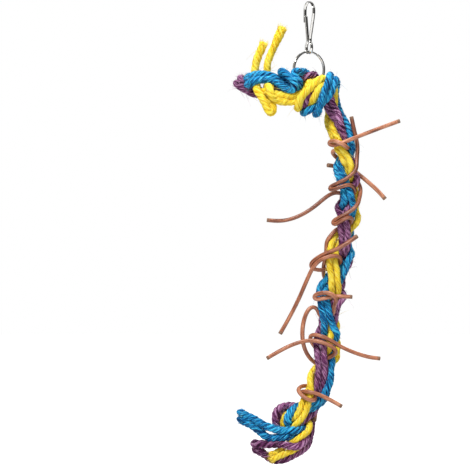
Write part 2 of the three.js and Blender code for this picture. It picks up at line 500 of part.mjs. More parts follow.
// Pairs of cord pieces that lie near enough to meet before the next listing.
function nearPairs(lines) {
  const cell = STRAND_DIAMETER + STRAND_SPACING + SETTLE_REACH + SETTLE_CLEARANCE;
  const boxes = new Map();
  const pieces = [];
  for (const line of lines) {
    for (let index = 0; index + 1 < line.now.length; index++) {
      const middle = line.now[index].clone().add(line.now[index + 1]).multiplyScalar(0.5);
      const at = [middle.x, middle.y, middle.z].map((value) => Math.floor(value / cell));
      pieces.push({ line, index, middle, at });
      const key = at.join(",");
      if (!boxes.has(key)) {
        boxes.set(key, []);
      }
      boxes.get(key).push(pieces.length - 1);
    }
  }
  const pairs = [];
  pieces.forEach((piece, number) => {
    for (let dx = -1; dx <= 1; dx++) {
      for (let dy = -1; dy <= 1; dy++) {
        for (let dz = -1; dz <= 1; dz++) {
          const key = [piece.at[0] + dx, piece.at[1] + dy, piece.at[2] + dz].join(",");
          for (const other of boxes.get(key) ?? []) {
            const mate = pieces[other];
            const apart = piece.line === mate.line ? Math.abs(piece.index - mate.index) : Infinity;
            const moves = !piece.line.fixed || !mate.line.fixed;
            if (other > number && moves && apart > SETTLE_SKIP) {
              if (piece.middle.distanceTo(mate.middle) < cell) {
                pairs.push([piece, mate]);
              }
            }
          }
        }
      }
    }
  });
  return pairs;
}

const found = { s: 0, t: 0, x: 0, y: 0, z: 0 };

function shift(piece, share, push) {
  if (piece.line.fixed) {
    return;
  }
  const first = piece.line.now[piece.index];
  const second = piece.line.now[piece.index + 1];
  for (const axis of ["x", "y", "z"]) {
    first[axis] += found[axis] * push * (1 - share);
    second[axis] += found[axis] * push * share;
  }
}

// Pushes apart every pair that is nearer than its clearance, and gives the least gap seen.
function separate(pairs) {
  let least = Infinity;
  for (const [a, b] of pairs) {
    const need = a.line.radius + b.line.radius + SETTLE_CLEARANCE;
    const distance = closestShares(
      a.line.now[a.index],
      a.line.now[a.index + 1],
      b.line.now[b.index],
      b.line.now[b.index + 1],
      found,
    );
    least = Math.min(least, distance - need + SETTLE_CLEARANCE);
    if (distance < need && distance > 1e-6) {
      const giveA = a.line.fixed ? 0 : 1 / a.line.radius ** 2;
      const giveB = b.line.fixed ? 0 : 1 / b.line.radius ** 2;
      const push = (need - distance) / distance / (giveA + giveB);
      shift(a, found.s, push * giveA);
      shift(b, found.t, -push * giveB);
    }
  }
  return least;
}

// The plait keeps its laid crossings; knots, tails and laces are drawn smoother.
function inPlait(line, point) {
  return line.radius > LACE_DIAMETER / 2 && point.z < PLAIT_TOP && point.z > PLAIT_FOOT;
}

// Draws each cord smooth and back towards where it was laid.
function ease(line, hold, smoothing) {
  const last = line.now.length - 1;
  const before = line.now.map((point) => point.clone());
  for (let index = 0; index <= last; index++) {
    const point = line.now[index];
    const firmness = inPlait(line, line.laid[index]) ? PLAIT_FIRMNESS : 1;
    if (index > 0 && index < last) {
      const middle = before[index - 1].clone().add(before[index + 1]).multiplyScalar(0.5);
      point.addScaledVector(middle.sub(before[index]), smoothing / firmness);
    }
    point.addScaledVector(line.laid[index].clone().sub(before[index]), hold * firmness);
  }
}

function settle() {
  const lines = [...cords, ringObstacle];
  let pairs = [];
  let least = -Infinity;
  for (let pass = 0; pass < SETTLE_PASSES + SETTLE_FINISH; pass++) {
    const done = Math.min(1, pass / SETTLE_PASSES);
    const hold = THREE.MathUtils.lerp(SETTLE_HOLD_START, SETTLE_HOLD_END, done);
    if (pass < SETTLE_PASSES) {
      cords.forEach((line) => ease(line, hold, SETTLE_SMOOTHING));
    }
    if (pass % SETTLE_RELIST === 0) {
      pairs = nearPairs(lines);
    }
    least = separate(pairs);
    if (pass > SETTLE_PASSES && least > SETTLE_CLEARANCE * 0.96) {
      break;
    }
  }
  return least;
}

const leastGap = settle();

// Keeps only the stations that a tube needs to follow its settled line.
function stations(points) {
  const kept = [points[0]];
  const chord = new THREE.Line3();
  const nearest = new THREE.Vector3();
  let start = 0;
  while (start < points.length - 1) {
    let end = start + 1;
    while (end + 1 < points.length) {
      chord.set(points[start], points[end + 1]);
      const strays = points
        .slice(start + 1, end + 1)
        .some((point) => chord.closestPointToPoint(point, true, nearest).distanceTo(point) > CHORD_ERROR);
      if (strays || chord.distance() > LONGEST_STEP) {
        break;
      }
      end += 1;
    }
    kept.push(points[end]);
    start = end;
  }
  return kept;
}

// A line whose steps fall exactly on its stations.
class StationCurve extends THREE.Curve {
  constructor(points) {
    super();
    this.points = points;
  }

  getPoint(t, target = new THREE.Vector3()) {
    const last = this.points.length - 1;
    const place = THREE.MathUtils.clamp(t, 0, 1) * last;
    const index = Math.min(Math.floor(place), last - 1);
    return target.lerpVectors(this.points[index], this.points[index + 1], place - index);
  }

  getUtoTmapping(u) {
    return u;
  }

  getTangent(t, target = new THREE.Vector3()) {
    const last = this.points.length - 1;
    const index = Math.round(t * last);
    const before = this.points[Math.max(index - 1, 0)];
    const here = this.points[index];
    const after = this.points[Math.min(index + 1, last)];
    target.set(0, 0, 0);
    if (index > 0) {
      target.add(here.clone().sub(before).normalize());
    }
    if (index < last) {
      target.add(after.clone().sub(here).normalize());
    }
    return target.normalize();
  }
}

function roundSection(radius, sides) {
  const corners = [];
  for (let index = 0; index < sides; index++) {
    const angle = (2 * Math.PI * index) / sides;
    corners.push(new THREE.Vector2(radius * Math.cos(angle), radius * Math.sin(angle)));
  }
  return new THREE.Shape(corners);
}

const lengths = [];
for (const cord of cords) {
  const kept = stations(cord.now);
  const tube = new THREE.ExtrudeGeometry(roundSection(cord.radius, cord.sides), {
    steps: kept.length - 1,
    extrudePath: new StationCurve(kept),
    bevelEnabled: false,
  });
  addNode(cord.name, tube, cord.look);
  const length = cord.now.reduce((sum, point, i) => sum + (i ? point.distanceTo(cord.now[i - 1]) : 0), 0);
  lengths.push(`${cord.name} ${length.toFixed(0)} mm, ${kept.length} stations`);
}
console.log(`least gap between cords ${leastGap.toFixed(2)} mm`);
console.log(lengths.join("; "));

export default group;
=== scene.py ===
"""Hanging rope toy for a pet bird, dressed over its CAD frame: laid sisal strands with loose fibres,
leather laces with raw cut ends, and a bright nickel snap clip and split ring."""

import math

import bmesh
import bpy
import numpy as np
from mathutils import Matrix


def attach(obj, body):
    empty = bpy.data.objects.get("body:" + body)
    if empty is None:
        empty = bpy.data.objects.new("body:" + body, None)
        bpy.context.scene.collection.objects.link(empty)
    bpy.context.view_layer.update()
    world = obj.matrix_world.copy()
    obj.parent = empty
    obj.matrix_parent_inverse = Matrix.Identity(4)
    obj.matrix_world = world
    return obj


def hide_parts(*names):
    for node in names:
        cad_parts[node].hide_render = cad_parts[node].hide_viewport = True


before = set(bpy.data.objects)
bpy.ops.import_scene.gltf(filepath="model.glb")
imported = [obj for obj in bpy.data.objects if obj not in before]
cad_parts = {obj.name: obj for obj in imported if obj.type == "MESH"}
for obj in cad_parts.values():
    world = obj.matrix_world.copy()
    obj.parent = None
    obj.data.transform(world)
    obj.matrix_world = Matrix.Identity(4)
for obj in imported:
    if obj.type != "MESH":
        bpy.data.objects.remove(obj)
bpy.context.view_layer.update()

MM = 0.001
rng = np.random.default_rng(561)

# Strands: thickness, how many yarns are laid together, the length of one turn of the lay, how far a fibre
# runs along its strand while it turns by one radian, and how far a strand's fibre pattern may be shifted.
STRAND_DIAMETER = 4.9 * MM
YARNS = 3
LAY_PITCH = 11.5 * MM
FIBRE_DRIFT = 3.4 * MM
FIBRE_SHIFT_MM = 500
STRAND_STEP = 0.8 * MM
STRAND_POINTS = 27
STRAND_EASING = 6
CROWN_POWER = 2.6

# The groove between two yarns, as a share of the strand's radius, and how much deeper or flatter it is at the
# first end, in the top knot, along the plait, in the foot and at the last end. Painted shade darkens the
# frayed last ends, by these shares over these lengths.
GROOVE_DEPTH = {"yellow": 0.17, "blue": 0.2, "purple": 0.2}
GROOVE_SHARES = (1.2, 1, 0.55, 1.4, 1.4)
TAIL_SHADE = {"yellow": 0.0, "blue": 0.15, "purple": 0.75}
END_SHADE_LENGTH = 18 * MM
END_SHADE_FADE = 34 * MM

# How unevenly a strand is made: the size of each wander, and the length of one of its cells.
TURN_WANDER, TURN_CELL = 0.2, 9 * MM
GIRTH_WANDER, GIRTH_CELL = 0.025, 4 * MM
YARN_WANDER, YARN_CELL = 0.035, 6 * MM

# Laces: nearly round, with slightly flattened sides. At each end this many rows of faces are raw leather.
LACE_DIAMETER = 3.1 * MM
LACE_STEP = 0.9 * MM
LACE_POINTS = 16
LACE_EASING = 10
LACE_SQUARENESS = 2.5
LACE_FULLNESS = 0.97
LACE_WANDER, LACE_CELL = 0.02, 7 * MM
ROLL_WANDER, ROLL_CELL = 0.25, 30 * MM
LACE_CLOSING = [(0.1 * MM, 0.95), (0.16 * MM, 0.84)]
RAW_ROWS = 4

# Clip and ring: the clip's turn about the upright, the way across its strip, and their rounded sections.
CLIP_TURN = math.radians(-60)
STRIP_ACROSS = np.array((math.sin(CLIP_TURN), -math.cos(CLIP_TURN), 0.0))
STRIP_SQUARENESS = 2.1
FLANK_TOLERANCE = 0.05 * MM
RING_WIRE_RADIAL = 1.55 * MM
RING_WIRE_AXIAL = 0.88 * MM
RING_SQUARENESS = 2.6
METAL_POINTS = 24
METAL_STEP = 0.6 * MM
METAL_EASING = 3
METAL_END_SHARE = 0.6
METAL_END_LENGTH = 0.12 * MM

# Each strand: its colour, then its thickness at its first end, in the top knot, along the plait, in the foot
# and at its last end, as shares of the usual thickness. Loosened stretches are thicker.
STRANDS = {
    "yellow_strand_a": ("yellow", (1.45, 1.16, 0.95, 0.98, 0.95)),
    "yellow_strand_b": ("yellow", (1.3, 1.2, 0.95, 0.98, 0.95)),
    "blue_strand_a": ("blue", (1.25, 1.15, 1.06, 1.25, 1.3)),
    "blue_strand_b": ("blue", (1.3, 1.15, 1.06, 1.25, 1.3)),
    "purple_strand_a": ("purple", (1.3, 1.08, 1.02, 1.12, 1.35)),
    "purple_strand_b": ("purple", (1.3, 1.08, 1.02, 1.12, 1.35)),
}
# Each lace, and the painted light (paler) or painted shade (darker) on its skin against the usual tan.
LACES = {
    "leather_lace_1": 0.06,
    "leather_lace_2": -0.07,
    "leather_lace_3": 0.0,
    "leather_lace_4": -0.02,
    "leather_lace_5": 0.02,
    "leather_lace_6": 0.0,
    "leather_lace_7": 0.03,
}
# Lengths along a strand: each end and the share of it at full thickness, from the first end to the plait, the
# foot, and the change between them.
END_LENGTH = 15 * MM
TIP_SHARE = 0.4
KNOT_LENGTH = 215 * MM
FOOT_LENGTH = 125 * MM
EASE_LENGTH = 25 * MM

# How a cut end closes past its last station: rows of how far on, and the share of the thickness left there.
CLOSINGS = {
    "yellow": [(0.5 * MM, 0.98), (1.2 * MM, 0.86), (1.8 * MM, 0.6), (2.0 * MM, 0.3)],
    "blue": [(1.0 * MM, 0.97), (2.2 * MM, 0.8), (3.4 * MM, 0.55), (4.2 * MM, 0.25)],
    "purple": [(1.0 * MM, 0.97), (2.0 * MM, 0.82), (3.0 * MM, 0.55), (3.6 * MM, 0.25)],
}

# Single fibres, with ranges of lengths and radii in mm. Those lying on a strand start and end at these shares
# of its radius.
LYING_FIBRES_PER_MM = 1.6
LYING_LENGTH_MM, LYING_RADIUS_MM = (3.2, 8), (0.09, 0.19)
LYING_STARTS, LYING_ENDS = (0.95, 1.01), (0.96, 1.1)
LYING_STRAY = 0.05
# Loose fibres stand off a strand, leaning out, slanting with its lay, curling and drooping. Some are long,
# and the others cling to it.
LOOSE_FIBRES_PER_MM = 1.0
LONG_FIBRES = 95
LOOSE_LENGTH_MM, LONG_LENGTH_MM, LOOSE_RADIUS_MM = (1.5, 4.5), (4, 10), (0.08, 0.16)
LOOSE_LEAN, LONG_LEAN = (0.1, 0.5), (0.3, 0.8)
LOOSE_SLANT, LOOSE_STRAY = 0.25, 0.3
LOOSE_CURL, LOOSE_CLING = 0.2, 0.12
LOOSE_DROOP = np.array((0, 0, -0.1))
LOOSE_ROOT = 0.9
# The brush at each cut end of a strand.
BRUSH_FIBRES = 130
BRUSH_LENGTH_MM, BRUSH_RADIUS_MM = (2.2, 5.2), (0.07, 0.14)
BRUSH_SPREAD = (0.0, 0.6)
BRUSH_CURL = 0.16
BRUSH_ROOT = 1.5 * MM

# Photograph: 470 px wide at 0.75 mm per px, its middle this far from the clip's crown.
FRAME_WIDTH = 352.5 * MM
FRAME_MIDDLE = (-55.35 * MM, -174.5 * MM)
LENS_MM = 180.0
SENSOR_MM = 36.0
NEAREST, FARTHEST = 0.05, 20

# Dark cards that only reflections show: name, place, turn, width and height.
UPRIGHT = math.pi / 2
CARDS = (
    ("card_front_right", (0.52, -0.30, 0.13), (UPRIGHT, 0, math.radians(60)), 0.9, 0.46),
    ("card_left_back", (-0.5, 0.29, 0.1), (UPRIGHT, 0, math.radians(60)), 1.0, 0.9),
    ("card_right_back", (0.42, 0.42, 0.0), (UPRIGHT, 0, math.radians(-45)), 1.1, 0.9),
    ("card_front_left", (-0.5, -0.29, 0.1), (UPRIGHT, 0, math.radians(-60)), 0.6, 0.7),
    ("card_right", (0.55, 0.05, -0.12), (UPRIGHT, 0, math.radians(90)), 0.45, 0.56),
    ("card_above", (0.0, 0.0, 0.5), (0, 0, 0), 0.8, 0.8),
)
CARD_GLOW = 0.05
# Lamps, aimed at the toy's middle: name, place, side and watts. The world shows white, and its light on the
# toy is weaker.
LAMPS = (
    ("key", (-0.6, -1.1, 1.1), 0.5, 28),
    ("fill", (1.2, -1.3, 0.1), 1.0, 4.5),
    ("top", (0.1, 0.0, 1.1), 0.7, 13),
)
TOY_MIDDLE = (0.0, 0.0, -0.17)
FLOOR_HEIGHT = -0.42
FLOOR_SIDE = 8
FLOOR_GLOW = 0.9
WORLD_LIGHT = 0.26


def linear(red, green, blue):
    """A colour of 0 to 255 as read from a picture, as scene-linear values."""
    values = [value / 255 for value in (red, green, blue)]
    return tuple(v / 12.92 if v <= 0.04045 else ((v + 0.055) / 1.055) ** 2.4 for v in values) + (1.0,)


def make_camera():
    data = bpy.data.cameras.new("photo_camera")
    data.lens = LENS_MM
    data.sensor_width = SENSOR_MM
    data.clip_start = NEAREST
    data.clip_end = FARTHEST
    camera = bpy.data.objects.new("photo_camera", data)
    bpy.context.collection.objects.link(camera)
    distance = FRAME_WIDTH * LENS_MM / SENSOR_MM
    camera.location = (FRAME_MIDDLE[0], -distance, FRAME_MIDDLE[1])
    camera.rotation_euler = (UPRIGHT, 0, 0)
    bpy.context.scene.camera = camera


make_camera()


class Nodes:
    """A material's node tree with short calls to add and join nodes."""

    def __init__(self, name):
        self.material = bpy.data.materials.new(name)
        self.material.use_nodes = True
        self.tree = self.material.node_tree
        self.tree.nodes.clear()
        self.shader = self.add("ShaderNodeBsdfPrincipled")
        output = self.add("ShaderNodeOutputMaterial")
        self.join(self.shader.outputs["BSDF"], output.inputs["Surface"])

    def add(self, kind, **settings):
        node = self.tree.nodes.new(kind)
        for key, value in settings.items():
            setattr(node, key, value)
        return node

    def join(self, source, target):
        if isinstance(source, bpy.types.NodeSocket):
            self.tree.links.new(source, target)
        else:
            target.default_value = source

    def noise(self, vector, scale, detail=3.0, roughness=0.55):
        node = self.add("ShaderNodeTexNoise")
        self.join(vector, node.inputs["Vector"])
        node.inputs["Scale"].default_value = scale
        node.inputs["Detail"].default_value = detail
        node.inputs["Roughness"].default_value = roughness
        return node.outputs["Fac"]

    def maths(self, operation, first, second=0.0, clamp=False):
        node = self.add("ShaderNodeMath", operation=operation, use_clamp=clamp)
        self.join(first, node.inputs[0])
        self.join(second, node.inputs[1])
        return node.outputs[0]

    def stretch(self, vector, scale):
        node = self.add("ShaderNodeMapping")
        self.join(vector, node.inputs["Vector"])
        node.inputs["Scale"].default_value = scale
        return node.outputs["Vector"]

    def ramp(self, factor, stops):
        node = self.add("ShaderNodeValToRGB")
        self.join(factor, node.inputs["Fac"])
        elements = node.color_ramp.elements
        while len(elements) < len(stops):
            elements.new(0.5)
        for element, (place, colour) in zip(elements, stops):
            element.position = place
            element.color = colour
        return node.outputs["Color"]

    def bump(self, height, strength, distance):
        node = self.add("ShaderNodeBump")
        node.inputs["Strength"].default_value = strength
        node.inputs["Distance"].default_value = distance
        self.join(height, node.inputs["Height"])
        self.join(node.outputs["Normal"], self.shader.inputs["Normal"])


# Patterns of the looks: how each is stretched along its axes, or its scale. Those of the sisal run along and
# round a strand in mm, and the leather's streaks along and round a lace.
FINE_GRAIN = (0.14, 2.6, 2.6)
COARSE_GRAIN = (0.09, 1.05, 1.05)
BUNDLE_GRAIN = (0.06, 0.62, 0.62)
SEAM_SHARPNESS = 16.0
PATCH_SCALE = 110.0
FIBRE_DYE_SCALE = 420.0
FIBRE_GRAIN_SCALE = 2600.0
LEATHER_STREAKS = (1.2, 9.0, 1.0)
LEATHER_GRAIN_SCALE = 1500.0
LEATHER_BLOTCH_SCALE = 70.0
RAW_GRAIN_SCALE = 2200.0
WEAR_SCALE = 320.0
SCRATCHES = (1800.0, 1800.0, 160.0)


def sisal(name, dark, low, middle, light, lay, gap):
    """Dyed sisal: fine fibres run along the strand. Painted shade darkens the grooves of its lay and painted
    light brightens the crowns of its yarns, by the share lay. Painted shade darkens the thin seams between
    bundles of fibres, by the share gap."""
    made = Nodes(name)
    place = made.add("ShaderNodeAttribute", attribute_name="fibre").outputs["Vector"]
    crown = made.add("ShaderNodeAttribute", attribute_name="crown").outputs["Fac"]
    body = made.add("ShaderNodeTexCoord").outputs["Object"]
    fine = made.noise(made.stretch(place, FINE_GRAIN), 1.0, 3.0, 0.6)
    coarse = made.noise(made.stretch(place, COARSE_GRAIN), 1.0, 2.0)
    bundle = made.noise(made.stretch(place, BUNDLE_GRAIN), 1.0, 1.0)
    off_seam = made.maths("ABSOLUTE", made.maths("SUBTRACT", bundle, 0.5))
    seam = made.maths("MULTIPLY", off_seam, SEAM_SHARPNESS, clamp=True)
    patch = made.noise(body, PATCH_SCALE, 2.0)
    tone = made.maths("MULTIPLY", made.maths("SUBTRACT", fine, 0.5), 2.0)
    # Painted light and shade: the crown term lightens the yarns' crowns and darkens the lay's grooves, and
    # the seam term darkens the seams between bundles of fibres.
    for part, middle_value, weight in (
        (coarse, 0.5, 2.2),
        (patch, 0.5, 0.5),
        (crown, 0.65, lay),
        (seam, 0.7, gap),
    ):
        shift = made.maths("MULTIPLY", made.maths("SUBTRACT", part, middle_value), weight)
        tone = made.maths("ADD", tone, shift)
    tone = made.maths("ADD", tone, 0.5, clamp=True)
    colour = made.ramp(tone, [(0.0, dark), (0.3, low), (0.56, middle), (0.95, light)])
    made.join(colour, made.shader.inputs["Base Color"])
    made.shader.inputs["Roughness"].default_value = 0.75
    made.shader.inputs["Specular IOR Level"].default_value = 0.14
    made.shader.inputs["Sheen Weight"].default_value = 0.03
    made.shader.inputs["Sheen Roughness"].default_value = 0.4
    height = made.maths("ADD", fine, made.maths("MULTIPLY", coarse, 1.2))
    made.bump(made.maths("ADD", height, made.maths("MULTIPLY", seam, 0.9)), 0.8, 0.3 * MM)
    return made.material


def fibre_look(name, low, middle, light):
    """Single fibres, dyed unevenly, with their lightest tone a painted glint."""
    made = Nodes(name)
    body = made.add("ShaderNodeTexCoord").outputs["Object"]
    shade = made.noise(body, FIBRE_DYE_SCALE, 2.0)
    made.join(made.ramp(shade, [(0.36, low), (0.5, middle), (0.62, light)]), made.shader.inputs["Base Color"])
    made.shader.inputs["Roughness"].default_value = 0.6
    made.bump(made.noise(body, FIBRE_GRAIN_SCALE, 2.0), 0.2, 0.05 * MM)
    return made.material


def leather_look():
    """Tanned lace: streaks along it, a fine grain, and painted light or shade that makes one lace paler or
    darker than another.
    """
    made = Nodes("tan_leather")
    place = made.add("ShaderNodeUVMap", uv_map="lay")
    body = made.add("ShaderNodeTexCoord").outputs["Object"]
    streak = made.noise(made.stretch(place.outputs["UV"], LEATHER_STREAKS), 1.0, 4.0, 0.6)
    grain = made.noise(body, LEATHER_GRAIN_SCALE, 3.0, 0.65)
    blotch = made.noise(body, LEATHER_BLOTCH_SCALE, 2.0)
    tone = made.maths("ADD", made.maths("MULTIPLY", streak, 0.75), made.maths("MULTIPLY", blotch, 0.35))
    tone = made.maths("ADD", tone, made.maths("MULTIPLY", grain, 0.1))
    # Painted light or shade, one value per lace, added to the tone of its tan.
    painted_lace_shading = made.add("ShaderNodeAttribute", attribute_name="painted_lace_shading").outputs["Fac"]
    tone = made.maths("ADD", tone, painted_lace_shading, clamp=True)
    colour = made.ramp(
        tone,
        [
            (0.4, linear(72, 32, 18)),
            (0.52, linear(130, 72, 46)),
            (0.62, linear(166, 100, 68)),
            (0.78, linear(208, 146, 112)),
        ],
    )
    made.join(colour, made.shader.inputs["Base Color"])
    rough = made.ramp(grain, [(0.3, (0.3, 0.3, 0.3, 1)), (0.75, (0.48, 0.48, 0.48, 1))])
    made.join(rough, made.shader.inputs["Roughness"])
    made.shader.inputs["Specular IOR Level"].default_value = 0.55
    made.bump(made.maths("ADD", grain, made.maths("MULTIPLY", streak, 0.8)), 0.35, 0.18 * MM)
    return made.material


def cut_leather_look():
    """The raw end of a lace, fibrous and duller than its dyed skin."""
    made = Nodes("raw_leather")
    body = made.add("ShaderNodeTexCoord").outputs["Object"]
    grain = made.noise(body, RAW_GRAIN_SCALE, 3.0, 0.7)
    colour = made.ramp(grain, [(0.3, linear(94, 65, 49)), (0.7, linear(166, 128, 102))])
    made.join(colour, made.shader.inputs["Base Color"])
    made.shader.inputs["Roughness"].default_value = 0.9
    made.bump(grain, 0.6, 0.2 * MM)
    return made.material


def nickel_look():
    """Bright plate with slight wear and fine scratches."""
    made = Nodes("bright_nickel")
    body = made.add("ShaderNodeTexCoord").outputs["Object"]
    wear = made.noise(body, WEAR_SCALE, 3.0, 0.6)
    scratch = made.noise(made.stretch(body, SCRATCHES), 1.0, 2.0)
    made.join(
        made.ramp(wear, [(0.3, linear(188, 186, 183)), (0.7, linear(216, 215, 212))]),
        made.shader.inputs["Base Color"],
    )
    made.shader.inputs["Metallic"].default_value = 1.0
    rough = made.maths("ADD", made.maths("MULTIPLY", wear, 0.07), made.maths("MULTIPLY", scratch, 0.05))
    made.join(made.maths("ADD", rough, 0.04), made.shader.inputs["Roughness"])
    made.bump(scratch, 0.03, 0.05 * MM)
    return made.material


# Dyes of the sisal, from the darkest tone to the lightest, the painted shade of each in the grooves of its
# lay (with painted light on the yarns' crowns) and in the seams between bundles of fibres, and the tones of
# its single fibres.
SISAL = {
    "yellow": (linear(216, 158, 22), linear(250, 212, 44), linear(253, 226, 60), linear(253, 234, 104)),
    "blue": (linear(0, 20, 52), linear(3, 74, 132), linear(10, 120, 184), linear(66, 190, 234)),
    "purple": (linear(36, 8, 32), linear(84, 32, 74), linear(121, 60, 108), linear(198, 146, 186)),
}
LAY_SHADE = {"yellow": 0.24, "blue": 0.3, "purple": 0.3}
SEAM_SHADE = {"yellow": 0.5, "blue": 0.55, "purple": 0.5}
sisal_looks = {
    name: sisal(f"{name}_sisal", *tones, LAY_SHADE[name], SEAM_SHADE[name]) for name, tones in SISAL.items()
}
# Tones of the single fibres: uneven dye, and painted glints in the lightest tone.
FIBRE = {
    "yellow": (linear(230, 180, 34), linear(253, 226, 60), linear(255, 240, 132)),
    "blue": (linear(2, 50, 98), linear(14, 124, 186), linear(130, 220, 246)),
    "purple": (linear(58, 18, 52), linear(126, 66, 114), linear(222, 178, 212)),
}
fibre_looks = {name: fibre_look(f"{name}_fibre", *tones) for name, tones in FIBRE.items()}
leather = leather_look()
raw_leather = cut_leather_look()
nickel = nickel_look()


# Reading the CAD: points closer than this are one, triangles this level are one face, and the corners of a
# tube's end may be this far off a circle. Then the steps of a curve between two rings, the least gap between
# them, how fast a kink is eased, and the length of one step of a tube's UVs.
WELD_GRID = 1e-6
LEVEL_TOLERANCE = 1e-7
ROUND_TOLERANCE = 0.2
SPAN_STEPS = 12
SMALLEST_GAP = 1e-6
EASING_RATE = 0.25
UV_LENGTH = 10 * MM


def unit(vector):
    return vector / np.linalg.norm(vector)


def welded(node):
    """A CAD solid's points, each once, and its triangles."""
    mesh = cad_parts[node].data
    raw = np.empty(len(mesh.vertices) * 3, np.float32)
    mesh.vertices.foreach_get("co", raw)
    raw = raw.reshape(-1, 3).astype(float)
    grid = np.round(raw / WELD_GRID).astype(int)
    _, first, index = np.unique(grid, axis=0, return_index=True, return_inverse=True)
    mesh.calc_loop_triangles()
    corners = np.empty(len(mesh.loop_triangles) * 3, np.int32)
    mesh.loop_triangles.foreach_get("vertices", corners)
    return raw[first], index.ravel()[corners].reshape(-1, 3)


def ring_centres(node):
    """The middle of each ring of a CAD tube, from one end to the other."""
    points, triangles = welded(node)
    beside = [set() for _ in points]
    for a, b, c in triangles:
        beside[a].update((b, c))
        beside[b].update((a, c))
        beside[c].update((a, b))
    ring = end_ring(points, triangles)
    seen = set(ring)
    centres = []
    while ring:
        centres.append(points[list(ring)].mean(axis=0))
        ring = {other for one in ring for other in beside[one]} - seen
        seen |= ring
    return np.array(centres)


def end_ring(points, triangles):
    """The corners of a tube's flat end: a patch of level triangles whose corners lie on a circle."""
    a, b, c = (points[triangles[:, k]] for k in range(3))
    normals = np.cross(b - a, c - a)
    normals /= np.linalg.norm(normals, axis=1, keepdims=True)
    across = {}
    for number, triangle in enumerate(triangles):
        for k in range(3):
            edge = tuple(sorted((triangle[k], triangle[(k + 1) % 3])))
            across.setdefault(edge, []).append(number)
    group = list(range(len(triangles)))

    def root(number):
        while group[number] != number:
            number = group[number]
        return number

    for pair in across.values():
        if len(pair) == 2 and normals[pair[0]] @ normals[pair[1]] > 1 - LEVEL_TOLERANCE:
            group[root(pair[0])] = root(pair[1])
    patches = {}
    for number in range(len(triangles)):
        patches.setdefault(root(number), []).append(number)
    for members in patches.values():
        corners = sorted(set(triangles[members].ravel().tolist()))
        spokes = np.linalg.norm(points[corners] - points[corners].mean(axis=0), axis=1)
        if len(members) == len(corners) - 2 >= 4 and np.ptp(spokes) < ROUND_TOLERANCE * spokes.mean():
            return set(corners)
    raise RuntimeError("no flat end found")


def smooth_line(points, step, easing):
    """A centripetal curve through the points, resampled evenly and eased where it kinks."""
    padded = np.vstack([2 * points[0] - points[1], points, 2 * points[-1] - points[-2]])
    dense = []
    for p0, p1, p2, p3 in zip(padded[:-3], padded[1:-2], padded[2:-1], padded[3:]):
        spans = ((p0, p1), (p1, p2), (p2, p3))
        gaps = [max(math.sqrt(np.linalg.norm(q - p)), SMALLEST_GAP) for p, q in spans]
        t = np.linspace(0, 1, SPAN_STEPS, endpoint=False)[:, None]
        m1 = (p2 - p1) + gaps[1] * ((p1 - p0) / gaps[0] - (p2 - p0) / (gaps[0] + gaps[1]))
        m2 = (p2 - p1) + gaps[1] * ((p3 - p2) / gaps[2] - (p3 - p1) / (gaps[1] + gaps[2]))
        h00 = 2 * t**3 - 3 * t**2 + 1
        h10 = t**3 - 2 * t**2 + t
        dense.append(h00 * p1 + h10 * m1 + (1 - h00) * p2 + (t**3 - t**2) * m2)
    line = even(np.vstack(dense + [points[-1:]]), step)
    for _ in range(easing):
        line[1:-1] += EASING_RATE * (line[:-2] + line[2:] - 2 * line[1:-1])
    return even(line, step)


def distances(line):
    """How far along the line each of its points lies."""
    return np.concatenate([[0], np.cumsum(np.linalg.norm(np.diff(line, axis=0), axis=1))])


def even(line, step):
    """The line with its points about one step apart."""
    along = distances(line)
    places = np.linspace(0, along[-1], max(3, round(along[-1] / step) + 1))
    return np.stack([np.interp(places, along, line[:, k]) for k in range(3)], axis=1)


def frames_along(line):
    """Tangent, normal and binormal at each point, turned no more than the line bends."""
    tangents = np.gradient(line, axis=0)
    tangents /= np.linalg.norm(tangents, axis=1, keepdims=True)
    normal = np.cross(tangents[0], (0.0, 0.0, 1.0) if abs(tangents[0][2]) < 0.9 else (1.0, 0.0, 0.0))
    normals = []
    for tangent in tangents:
        normal = normal - tangent * (normal @ tangent)
        normal /= np.linalg.norm(normal)
        normals.append(normal)
    normals = np.array(normals)
    return tangents, normals, np.cross(tangents, normals)


def make_mesh(name, points, faces, looks):
    mesh = bpy.data.meshes.new(name)
    mesh.from_pydata(points.tolist(), [], faces)
    mesh.polygons.foreach_set("use_smooth", [True] * len(mesh.polygons))
    for look in looks:
        mesh.materials.append(look)
    piece = bpy.data.objects.new(name, mesh)
    bpy.context.collection.objects.link(piece)
    return piece


